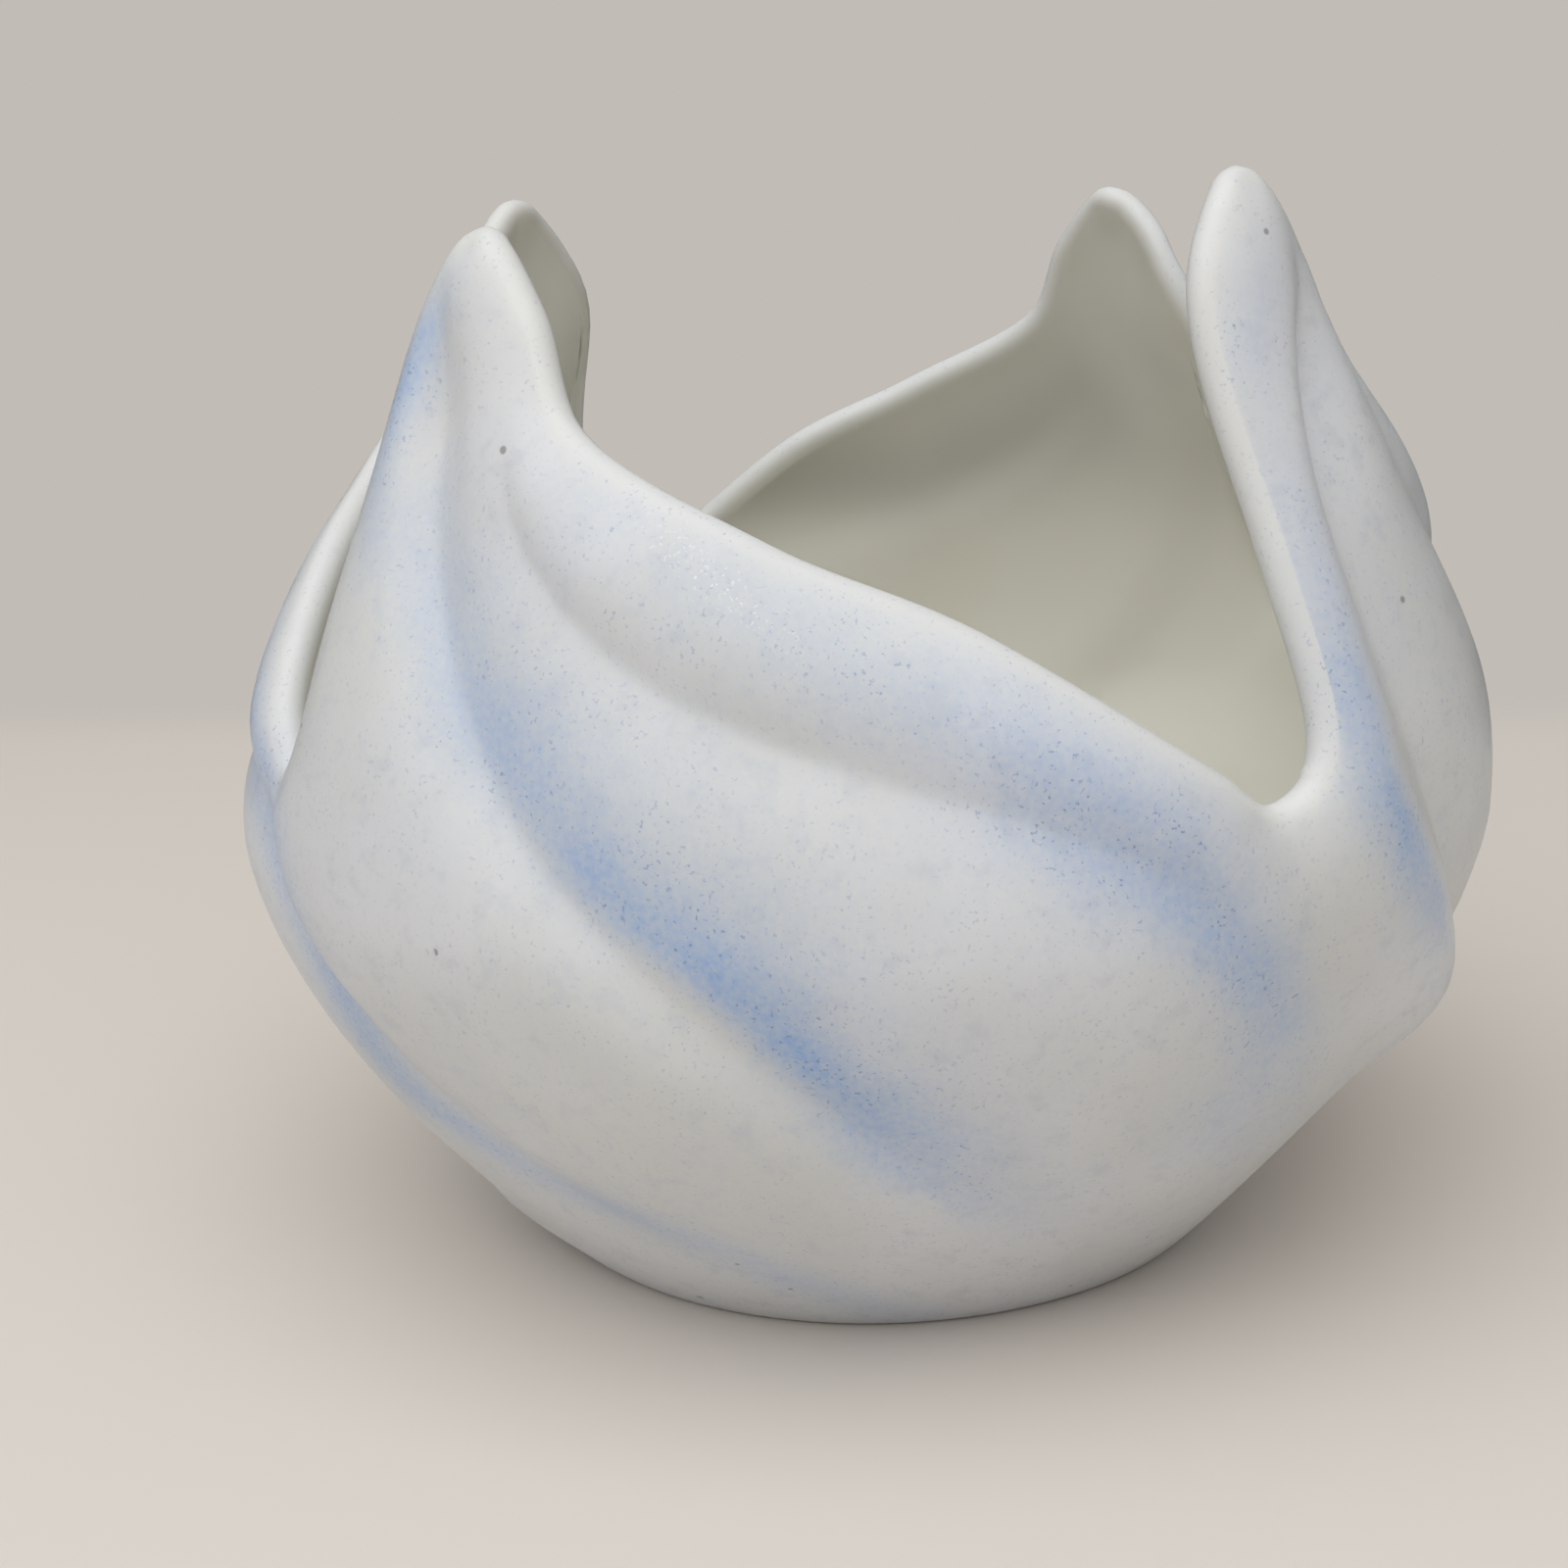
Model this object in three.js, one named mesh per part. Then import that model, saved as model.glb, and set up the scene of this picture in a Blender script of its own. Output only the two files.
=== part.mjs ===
// A slip-cast ceramic planter bowl. Four leaves swirl up out of a round foot. Each rises steeply along its
// leading edge to a blunt tip, then falls along a trailing rim to the notch before the next leaf.
// Millimetres, +Z up. The origin is the middle of the foot, on the surface that the bowl stands on.
import * as THREE from "three";

// Overall sizes
const TIP_HEIGHT = 120; // crest of the leaf tips
const NOTCH_HEIGHT = 66; // crest of the rim at the low point between two leaves
const BELLY_HEIGHT = 52; // where the round body is widest
const BELLY_RADIUS = 74;
const TIP_RADIUS = 57;
const FOOT_RADIUS = 40;
const WALL = 4.8; // cast thickness
const CREST = 1.8; // height of the rim's crest above its edges
const ROLL = 2.2; // how far the wall leans in at the rim
const ROLL_REACH = 10; // distance below the rim at which that lean starts
const ROLL_POWER = 3; // over 1 puts most of the lean close to the rim
const CREST_FULLNESS = 0.67; // how long the rim's curve follows each face of the wall, beside its thickness

// Foot and floor
const FOOT_RING = 7; // width of the flat ring that touches the table
const FOOT_RECESS = 1.5; // depth of the hollow inside that ring
const FLOOR = 6; // height of the floor inside
const FLOOR_ROUND = 6.5; // height above the floor at which the wall starts to turn into it

// Swirl
const SWEEP = 61; // degrees that a valley turns by between its notch and the foot
const SWEEP_POWER = 2; // over 1 puts most of that turn near the foot
const UNDERSIDE_POWER = 1.65; // over 1 makes the underside full, and 1 makes it a plain cone
const FLARE = 2; // how far the leading half of a leaf stands out beyond its trailing half
const FLARE_ANGLE = 16; // leaf angle, in degrees, where it stands out most
const FLARE_START = 0.6; // level, as described below, where the flare starts

// Heights inside the swirl are levels: 0 is the table, 1 the notches and 2 the tips.
// Leaf angles are in degrees from a leaf's own leading notch, anticlockwise seen from above.

// Rim of one leaf, from its leading notch over its tip: leaf angle, and share of the rise to the tip
const RIM = [
  [0, 0],
  [4.6, 0.035],
  [7.6, 0.13],
  [9.2, 0.42],
  [12, 0.86],
  [20.2, 1],
  [28.2, 0.885],
  [34, 0.7],
  [53.5, 0.51],
  [70, 0.36],
  [86, 0.08],
];
const TIP_POINT = 5; // which of these is the tip, counted from 0
const TIP_ANGLE = RIM[TIP_POINT][0];

// Grooves of one leaf. line gives level and leaf angle, to which the sweep is added. fade gives the levels
// between which the groove appears and goes again. depth, and the half widths ahead towards the leading edge
// and behind towards the trailing rim, are in wall thicknesses. turns picks a leaf's own turns of the groove.
const GROOVES = [
  {
    name: "under the rim",
    depth: 0.54,
    line: [[0, 88], [0.75, 89], [0.92, 82], [1.07, 61], [1.19, 47], [1.32, 38], [1.49, 31], [2, 25]],
    fade: [0.45, 0.85, 1.1, 1.8],
    ahead: 1.88,
    behind: 0.83,
    turns: (leaf) => leaf.underRimTurns,
  },
  {
    name: "behind the leading band",
    depth: 0.75,
    line: [
      [0, 46], [0.47, 47], [0.75, 42.5], [1.05, 32], [1.32, 24.5], [1.52, 20.4], [1.75, 18.3], [2, 17.5],
    ],
    fade: [0.1, 0.6, 1.6, 1.95],
    ahead: 0.88,
    behind: 2.08,
    turns: (leaf) => leaf.bandTurns,
  },
  {
    name: "valley between two leaves",
    depth: 0.42,
    line: [[0, 0], [2, 0]],
    fade: [0.02, 0.5, 0.85, 1.05],
    ahead: 2.08,
    behind: 1.04,
    turns: (leaf) => [leaf.notchTurn, leaf.notchTurn, leaf.notchTurn],
  },
];
const GROOVE_POWER = 1.5; // under 2 makes their folds sharper
const NARROWING = 0.5; // width of the grooves at the tips, beside that lower down
const NARROWING_LEVELS = [1, 1.7]; // levels between which they narrow

// The inside follows the outside more softly: depth, width and power of its grooves, and share of the roll
const INSIDE_DEPTH = 0.7;
const INSIDE_REACH = 1.6;
const INSIDE_POWER = 2;
const INSIDE_ROLL = 0.6;

// The leaves are finished by hand, so each differs a little: rise and turn of its leading notch and of its
// tip, lift of its trailing rim, how far its tip stands out, and turns of its grooves at three levels. Turns
// are in degrees and the rest in hand units.
const HAND_UNIT = 1; // mm
const TURN_LEVELS = [0.5, 1.1, 1.8];
const LEAVES = [
  {
    notchRise: -1.5,
    notchTurn: 0.5,
    tipRise: 0,
    tipTurn: 0,
    rimLift: -1.8,
    tipOut: -0.9,
    underRimTurns: [0, 0, 0],
    bandTurns: [0, 0, 0],
  },
  {
    notchRise: -3,
    notchTurn: 7,
    tipRise: 2.3,
    tipTurn: -1.2,
    rimLift: -2.5,
    tipOut: 1.2,
    underRimTurns: [10, 10, 1],
    bandTurns: [-20, -8, 6],
  },
  {
    notchRise: 3.5,
    notchTurn: 3.5,
    tipRise: -0.3,
    tipTurn: 3.4,
    rimLift: 0.2,
    tipOut: -0.9,
    underRimTurns: [-3, -3, -3],
    bandTurns: [-3, -3, -3],
  },
  {
    notchRise: 3.5,
    notchTurn: 1,
    tipRise: 1.4,
    tipTurn: 6,
    rimLift: -2.4,
    tipOut: 1,
    underRimTurns: [0, 0, 0],
    bandTurns: [0, 0, 0],
  },
];
const FIRST_LEAF = 180; // where the first leaf's notch lies, in degrees from +X
const LEAF_PITCH = 360 / LEAVES.length;

// Fineness of the surface
const STEPS_PER_RIM_POINT = 3;
const OUTER_ROWS = 20;
const RIM_ROWS = 5;
const INNER_ROWS = 10;
const FLOOR_ROWS = 4;
const FAN_POWER = 2; // over 1 keeps the columns spread out until close below the rim
const FOOT_FOLLOW = 0.5; // how far the columns at the foot follow their places at the rim
const LINE_STEPS = 30; // straight pieces in a groove's line
const RUN_STEPS = 6; // straight pieces of the rim's line between two rim points
const SLOPE_STEP = 0.25; // mm and degrees over which slopes of the surface are measured

const { degToRad, radToDeg, lerp, clamp, smoothstep, euclideanModulo } = THREE.MathUtils;

// The same angle between -180 and 180 degrees
function wrapped(angle) {
  return euclideanModulo(angle + 180, 360) - 180;
}

function level(z) {
  if (z < NOTCH_HEIGHT) return z / NOTCH_HEIGHT;
  return 1 + (z - NOTCH_HEIGHT) / (TIP_HEIGHT - NOTCH_HEIGHT);
}

function sweep(z) {
  return SWEEP * clamp(1 - z / NOTCH_HEIGHT, 0, 1) ** SWEEP_POWER;
}

// Smooth curve through rising [x, y] points, flat beyond both ends
function through(points, x) {
  const last = points.length - 1;
  const slope = (i) => {
    const [a, b] = [points[Math.max(i - 1, 0)], points[Math.min(i + 1, last)]];
    return (b[1] - a[1]) / (b[0] - a[0]);
  };
  let i = 0;
  while (i < last - 1 && x > points[i + 1][0]) i += 1;
  const [x0, y0] = points[i];
  const [x1, y1] = points[i + 1];
  const run = x1 - x0;
  const t = clamp((x - x0) / run, 0, 1);
  const ease = t * t * (3 - 2 * t);
  const leave = t * (1 - t) * (1 - t) * run * slope(i);
  const arrive = t * t * (1 - t) * run * slope(i + 1);
  return lerp(y0, y1, ease) + leave - arrive;
}

// The round body without its leaves: full from the foot to the belly, then leaning in and upright at the tips
function bodyRadius(z) {
  if (z < BELLY_HEIGHT) {
    return BELLY_RADIUS - (BELLY_RADIUS - FOOT_RADIUS) * (1 - z / BELLY_HEIGHT) ** UNDERSIDE_POWER;
  }
  const share = clamp((z - BELLY_HEIGHT) / (TIP_HEIGHT - BELLY_HEIGHT), 0, 1);
  return lerp(BELLY_RADIUS, TIP_RADIUS, (1 - Math.cos(Math.PI * share)) / 2);
}

function flare(angle, z) {
  const share = clamp((level(z) - FLARE_START) / (2 - FLARE_START), 0, 1);
  const around = Math.cos(degToRad((angle - FLARE_ANGLE) * LEAVES.length));
  return FLARE * Math.sin(Math.PI * share) * around;
}

// How far a place on the body lies from a line of angles and heights, measured across the surface: the plain
// distance, the same with a minus sign on the left of the line's run seen from outside, and the height on it
function fromLine(line, angle, z) {
  const across = degToRad(bodyRadius(z));
  let nearest = { away: Infinity };
  for (let i = 1; i < line.length; i += 1) {
    const [start, end] = [line[i - 1], line[i]];
    const run = wrapped(end.angle - start.angle) * across;
    const rise = end.z - start.z;
    const x = wrapped(angle - start.angle) * across;
    const y = z - start.z;
    const t = clamp((x * run + y * rise) / (run * run + rise * rise), 0, 1);
    const [dx, dy] = [x - t * run, y - t * rise];
    const away = Math.hypot(dx, dy);
    if (away < nearest.away) {
      nearest = { away, signed: away * Math.sign(rise * dx - run * dy), z: start.z + t * rise };
    }
  }
  return nearest;
}

// A groove of one leaf with its line over the body
function laidGroove(groove, index) {
  const ownTurns = groove.turns(LEAVES[index]).map((turn, i) => [TURN_LEVELS[i], turn]);
  const line = Array.from({ length: LINE_STEPS + 1 }, (_, step) => {
    const z = (TIP_HEIGHT * step) / LINE_STEPS;
    const turn = index * LEAF_PITCH + through(ownTurns, level(z));
    return { z, angle: through(groove.line, level(z)) + sweep(z) + turn };
  });
  return { ...groove, line };
}

// Depth of a laid groove at a place on the body, outside or inside the bowl
function grooveDepth(groove, angle, z, inside) {
  const near = fromLine(groove.line, angle, z);
  const at = level(near.z);
  const [start, full, ebb, end] = groove.fade;
  const share = smoothstep(at, start, full) * (1 - smoothstep(at, ebb, end));
  const depth = groove.depth * WALL * share * (inside ? INSIDE_DEPTH : 1);
  const side = near.signed < 0 ? groove.ahead : groove.behind;
  const slim = lerp(1, NARROWING, smoothstep(at, ...NARROWING_LEVELS));
  const reach = side * WALL * slim * (inside ? INSIDE_REACH : 1);
  return depth * Math.exp(-((near.away / reach) ** (inside ? INSIDE_POWER : GROOVE_POWER)));
}

// How much the wall leans in: 1 along the rim and nothing ROLL_REACH away from it. The runs of rim from tip
// to tip join by their squares, which keeps the tips smooth.
function rimLean(angle, z) {
  const sides = rimRuns.map((run) => fromLine(run, angle, z));
  const least = Math.min(...sides.map((side) => side.away));
  const leans = sides.map((side) => {
    const away = side.away === least ? side.signed : side.away;
    return (1 - Math.min(away / ROLL_REACH, 1)) ** ROLL_POWER;
  });
  return Math.hypot(...leans);
}

function onCircle(radius, angle, z) {
  const turn = degToRad(FIRST_LEAF + angle);
  return new THREE.Vector3(radius * Math.cos(turn), radius * Math.sin(turn), z);
}

// A point of the outside, or of the softer form that the inside follows, on the column's leaf
function outerPoint(column, angle, z, inside = false) {
  const tipShare = clamp(level(z) - 1, 0, 1);
  const tipOut = LEAVES[column.owner].tipOut * HAND_UNIT * tipShare ** 2;
  const depths = laidGrooves.map((groove) => grooveDepth(groove, angle, z, inside));
  const grooved = depths.reduce((sum, depth) => sum + depth, 0);
  const roll = ROLL * (inside ? INSIDE_ROLL : 1) * rimLean(angle, z);
  return onCircle(bodyRadius(z) + flare(angle, z) + tipOut - grooved - roll, angle, z);
}

// Direction out of the wall, of the outside or of the form that the inside follows
function wallNormal(column, angle, z, inside = false) {
  const point = (turn, rise) => outerPoint(column, angle + turn, z + rise, inside);
  const up = point(0, SLOPE_STEP).sub(point(0, -SLOPE_STEP));
  const along = point(SLOPE_STEP, 0).sub(point(-SLOPE_STEP, 0));
  return along.cross(up).normalize();
}

// A point one cast thickness in from the form that the inside follows
function innerPoint(column, angle, z) {
  return outerPoint(column, angle, z, true).addScaledVector(wallNormal(column, angle, z, true), -WALL);
}

// A point of the rim's line on the round body
function rimPoint(index, [angle, rise]) {
  const leaf = LEAVES[index];
  const next = LEAVES[(index + 1) % LEAVES.length];
  const fall = clamp((angle - TIP_ANGLE) / (LEAF_PITCH - TIP_ANGLE), 0, 1);
  const low = NOTCH_HEIGHT - CREST + lerp(leaf.notchRise, next.notchRise, fall) * HAND_UNIT;
  const high = TIP_HEIGHT - CREST + leaf.tipRise * HAND_UNIT;
  const z = lerp(low, high, rise) + leaf.rimLift * HAND_UNIT * Math.sin(Math.PI * fall);
  const turn = lerp(lerp(leaf.notchTurn, next.notchTurn, fall), leaf.tipTurn, rise);
  return onCircle(bodyRadius(z), index * LEAF_PITCH + angle + turn, z);
}

// The closed line along the whole rim, with so many steps between two rim points
function rimLine(steps) {
  const points = LEAVES.flatMap((leaf, index) => RIM.map((point) => rimPoint(index, point)));
  const count = points.length * steps;
  const curve = new THREE.CatmullRomCurve3(points, true, "centripetal");
  return curve.getPoints(count).slice(0, count).map(({ x, y, z }, i) => {
    const even = (i * 360) / count;
    const lead = wrapped(radToDeg(Math.atan2(y, x)) - FIRST_LEAF - even);
    return { z, angle: even + lead, footAngle: even + lead * FOOT_FOLLOW };
  });
}

// The rim's line cut at the tips into one run for each notch
function rimLineRuns() {
  const line = rimLine(RUN_STEPS);
  const perLeaf = RIM.length * RUN_STEPS;
  return LEAVES.map((leaf, index) => {
    const tip = index * perLeaf + TIP_POINT * RUN_STEPS;
    return Array.from({ length: perLeaf + 1 }, (_, i) => line[(tip + i) % line.length]);
  });
}

// One column of the surface for each step along the rim: its leaf, its angle at the foot, and its rim point
function rimColumns() {
  const perLeaf = RIM.length * STEPS_PER_RIM_POINT;
  return rimLine(STEPS_PER_RIM_POINT).map(({ z, angle, footAngle }, i) => ({
    owner: Math.floor(i / perLeaf),
    footAngle,
    rimAngle: angle,
    rimHeight: z,
  }));
}

// Place on a column at a share of its height: the columns fan out below the rim and turn with the valleys
function place(column, share) {
  const z = column.rimHeight * share;
  return { z, angle: lerp(column.footAngle, column.rimAngle, share ** FAN_POWER) + sweep(z) };
}

function footRings(columns) {
  const inner = FOOT_RADIUS - FOOT_RING;
  const ring = (radius, z) => columns.map((column) => onCircle(radius, place(column, 0).angle, z));
  return [ring(inner - FOOT_RECESS, FOOT_RECESS), ring(inner, 0)];
}

function outerRings(columns) {
  return Array.from({ length: OUTER_ROWS + 1 }, (_, row) =>
    columns.map((column) => {
      const { angle, z } = place(column, row / OUTER_ROWS);
      return outerPoint(column, angle, z);
    }),
  );
}

// The rounded rim: curves from the outer edge over to the inner one, square to the rim's run and smooth with
// both faces of the wall
function rimRings(columns, outerEdge, innerEdge) {
  const count = columns.length;
  const curves = columns.map((column, i) => {
    const { angle, z } = place(column, 1);
    const run = outerEdge[(i + 1) % count].clone().sub(outerEdge[(i + count - 1) % count]);
    const reach = CREST_FULLNESS * outerEdge[i].distanceTo(innerEdge[i]);
    const [overOuter, overInner] = [false, true].map((inside) => {
      const edge = inside ? innerEdge[i] : outerEdge[i];
      const crest = wallNormal(column, angle, z, inside).cross(run).setLength(reach);
      return edge.clone().add(crest);
    });
    return new THREE.CubicBezierCurve3(outerEdge[i], overOuter, overInner, innerEdge[i]);
  });
  return Array.from({ length: RIM_ROWS - 1 }, (_, row) =>
    curves.map((curve) => curve.getPoint((row + 1) / RIM_ROWS)),
  );
}

// Inside of the wall, from the rim down to the round at the floor
function innerRings(columns) {
  const lowest = FLOOR + FLOOR_ROUND - WALL;
  return Array.from({ length: INNER_ROWS + 1 }, (_, row) =>
    columns.map((column) => {
      const { angle, z } = place(column, lerp(1, lowest / column.rimHeight, row / INNER_ROWS));
      return innerPoint(column, angle, z);
    }),
  );
}

// The round between wall and floor: leaves the wall along its own slope and lands flat on the floor
function floorRings(wallRows) {
  const [above, last] = wallRows.slice(-2);
  const curves = last.map((point, i) => {
    const down = point.clone().sub(above[i]);
    const corner = point.clone().addScaledVector(down, (FLOOR - point.z) / down.z);
    const run = corner.distanceTo(point) / Math.hypot(corner.x, corner.y);
    const landing = new THREE.Vector3(corner.x * (1 - run), corner.y * (1 - run), FLOOR);
    return new THREE.QuadraticBezierCurve3(point, corner, landing);
  });
  return Array.from({ length: FLOOR_ROWS }, (_, row) =>
    curves.map((curve) => curve.getPoint((row + 1) / FLOOR_ROWS)),
  );
}

// Two triangles over four corners in turn, split along the shorter diagonal
function quad(points, a, b, c, d) {
  const straight = points[a].distanceTo(points[c]) < points[b].distanceTo(points[d]);
  return straight ? [a, b, c, a, c, d] : [a, b, d, b, c, d];
}

// Closed surface over rings of points, from a point on the axis below to one above
function closedSurface(bottom, rings, top) {
  const count = rings[0].length;
  const points = [bottom, ...rings.flat(), top];
  const at = (ring, i) => 1 + ring * count + (i % count);
  const lastRing = rings.length - 1;
  const index = [];
  for (let i = 0; i < count; i += 1) {
    index.push(0, at(0, i + 1), at(0, i));
    for (let ring = 0; ring < lastRing; ring += 1) {
      index.push(...quad(points, at(ring, i), at(ring, i + 1), at(ring + 1, i + 1), at(ring + 1, i)));
    }
    index.push(points.length - 1, at(lastRing, i), at(lastRing, i + 1));
  }
  const geometry = new THREE.BufferGeometry();
  geometry.setFromPoints(points);
  geometry.setIndex(index);
  geometry.computeVertexNormals();
  return geometry;
}

function bowlBody() {
  const columns = rimColumns();
  const outer = outerRings(columns);
  const inner = innerRings(columns);
  const rings = [
    ...footRings(columns),
    ...outer,
    ...rimRings(columns, outer[OUTER_ROWS], inner[0]),
    ...inner,
    ...floorRings(inner),
  ];
  const bottom = new THREE.Vector3(0, 0, FOOT_RECESS);
  const top = new THREE.Vector3(0, 0, FLOOR);
  const glaze = new THREE.MeshStandardMaterial({ color: 0xd3d6d9, roughness: 0.45, metalness: 0 });
  const mesh = new THREE.Mesh(closedSurface(bottom, rings, top), glaze);
  mesh.name = "bowl_body";
  return mesh;
}

const rimRuns = rimLineRuns();
const laidGrooves = LEAVES.flatMap((leaf, index) => GROOVES.map((groove) => laidGroove(groove, index)));

const planter = new THREE.Group();
planter.name = "bowl_planter";
planter.add(bowlBody());

export default planter;
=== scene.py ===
"""A swirl-leaf planter bowl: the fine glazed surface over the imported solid, on a pale table."""
import math

import bpy
import numpy as np
from mathutils import Matrix, Vector


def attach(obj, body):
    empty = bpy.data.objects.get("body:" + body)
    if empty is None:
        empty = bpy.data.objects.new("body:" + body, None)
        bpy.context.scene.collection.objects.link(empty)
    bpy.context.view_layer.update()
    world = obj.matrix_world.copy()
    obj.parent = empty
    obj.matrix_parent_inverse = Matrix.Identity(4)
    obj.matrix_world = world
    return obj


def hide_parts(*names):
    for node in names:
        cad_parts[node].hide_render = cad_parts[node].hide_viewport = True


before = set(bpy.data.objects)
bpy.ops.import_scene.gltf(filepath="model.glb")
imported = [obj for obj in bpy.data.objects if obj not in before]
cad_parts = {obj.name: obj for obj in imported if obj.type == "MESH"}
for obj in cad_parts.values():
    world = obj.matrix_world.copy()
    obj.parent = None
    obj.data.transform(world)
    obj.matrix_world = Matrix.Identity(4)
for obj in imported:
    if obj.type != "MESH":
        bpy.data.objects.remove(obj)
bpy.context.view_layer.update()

# Sizes in millimetres, the same as the solid's, turned into metres when the mesh is made
MM = 0.001
TIP_HEIGHT = 120
NOTCH_HEIGHT = 66
BELLY_HEIGHT = 52
BELLY_RADIUS = 74
TIP_RADIUS = 57
FOOT_RADIUS = 40
WALL = 4.8
CREST = 1.8  # height of the rim's crest above its edges
CREST_FULLNESS = 0.67  # two thirds make it about round
FOOT_RING = 7
FOOT_RECESS = 1.5
FOOT_EDGE = 0.9  # round between the foot ring and the wall
FLOOR = 6
FLOOR_ROUND = 6.5

# Body and swirl
UNDERSIDE_POWER = 1.65  # how full the underside is
SWEEP = 61  # degrees that the leaves turn from foot to notch
SWEEP_POWER = 2
FLARE = 2  # how far the upper body is out of round
FLARE_ANGLE = 16
FLARE_START = 0.6  # level where that starts

# Rim of one leaf: leaf angle in degrees, and share of the rise from notch to tip
RIM = [
    (0, 0), (4.6, 0.035), (7.6, 0.13), (9.2, 0.42), (12, 0.86), (20.2, 1),
    (28.2, 0.885), (34, 0.7), (53.5, 0.51), (70, 0.36), (86, 0.08),
]
TIP_POINT = 5  # the rim point at the tip
TIP_ANGLE = RIM[TIP_POINT][0]

# Grooves of one leaf: level and leaf angle along the line, levels of the fades, reach ahead and behind
GROOVES = {
    "under_rim": {
        "depth": 2.6,
        "line": [(0, 88), (0.75, 89), (0.92, 82), (1.07, 61), (1.19, 47), (1.32, 38), (1.49, 31), (2, 25)],
        "fade": (0.45, 0.85, 1.1, 1.8),
        "ahead": 9,
        "behind": 4,
        "turns": lambda leaf: leaf["under_rim_turns"],
    },
    "leading_band": {
        "depth": 3.6,
        "line": [
            (0, 46), (0.47, 47), (0.75, 42.5), (1.05, 32),
            (1.32, 24.5), (1.52, 20.4), (1.75, 18.3), (2, 17.5),
        ],
        "fade": (0.1, 0.6, 1.6, 1.95),
        "ahead": 4.2,
        "behind": 10,
        "turns": lambda leaf: leaf["band_turns"],
    },
    "valley": {
        "depth": 2,
        "line": [(0, 0), (2, 0)],
        "fade": (0.02, 0.5, 0.85, 1.05),
        "ahead": 10,
        "behind": 5,
        "turns": lambda leaf: (leaf["notch_turn"],) * 3,
    },
}

# How each hand-finished leaf differs from the pattern, its grooves' turns at three levels
TURN_LEVELS = (0.5, 1.1, 1.8)
LEAF_KEYS = (
    "notch_rise", "notch_turn", "tip_rise", "tip_turn",
    "rim_lift", "tip_out", "under_rim_turns", "band_turns",
)
LEAVES = [
    dict(zip(LEAF_KEYS, values))
    for values in (
        (-1.5, 0.5, 0, 0, -1.8, -0.9, (0, 0, 0), (0, 0, 0)),
        (-3, 7, 2.3, -1.2, -2.5, 1.2, (10, 10, 1), (-20, -8, 6)),
        (3.5, 3.5, -0.3, 3.4, 0.2, -0.9, (-3, -3, -3), (-3, -3, -3)),
        (3.5, 1, 1.4, 6, -2.4, 1, (0, 0, 0), (0, 0, 0)),
    )
]
FIRST_LEAF = 180  # degrees about +Z from +X to where the first leaf's angles start
LEAF_PITCH = 360 / len(LEAVES)

# Form of the grooves and of the rim's lean
GROOVE_POWER = 1.5  # under 2 makes the folds sharper
NARROWING = 0.5  # share of their reach that the grooves keep at the tips
NARROWING_LEVELS = (1.0, 1.7)
INSIDE_REACH = 1.6  # the grooves are wider and shallower inside, where the slip fills them
INSIDE_DEPTH = 0.7
INSIDE_POWER = 2
ROLL = 2.2  # how far the rim leans in
ROLL_REACH = 10
ROLL_POWER = 3
INSIDE_ROLL = 0.6  # the inside's share of that lean

# Swells and hollows of the wall that the solid leaves out: angle from where the first leaf's angles start,
# height, reach along and up, and how far out
SWELL_KEYS = ("angle", "z", "along", "up", "out")
SWELLS = [
    dict(zip(SWELL_KEYS, values))
    for values in (
        (120, 35, 10, 10, 2.8), (143, 50, 14, 13, -2), (143, 14, 18, 9, -4),
        (-15, 15, 12, 5, -1.5), (-15, 6, 14, 4, 2.2), (-15, 60, 16, 11, 1.6),
    )
]

# Fineness of the surface
STEPS_PER_RIM_POINT = 11
OUTER_ROWS = 150
RIM_ROWS = 14
INNER_ROWS = 90
FLOOR_ROWS = 20
FLOOR_RINGS = 16
EDGE_ROWS = 4
RECESS_RINGS = (0.1, 0.3, 0.5, 0.7, 0.9, 1)  # shares of the recess's radius
RING_ROWS = 3
FAN_POWER = 2  # over 1 makes the columns fan out late on their way up
FOOT_FOLLOW = 0.5  # how far the columns at the foot follow their places at the rim
LINE_STEPS = 30
RIM_LINE_STEP = 2  # the rim's lean takes every second point of the rim
SLOPE_STEP = 0.25  # degrees along and millimetres up, for the wall's slope

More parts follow.
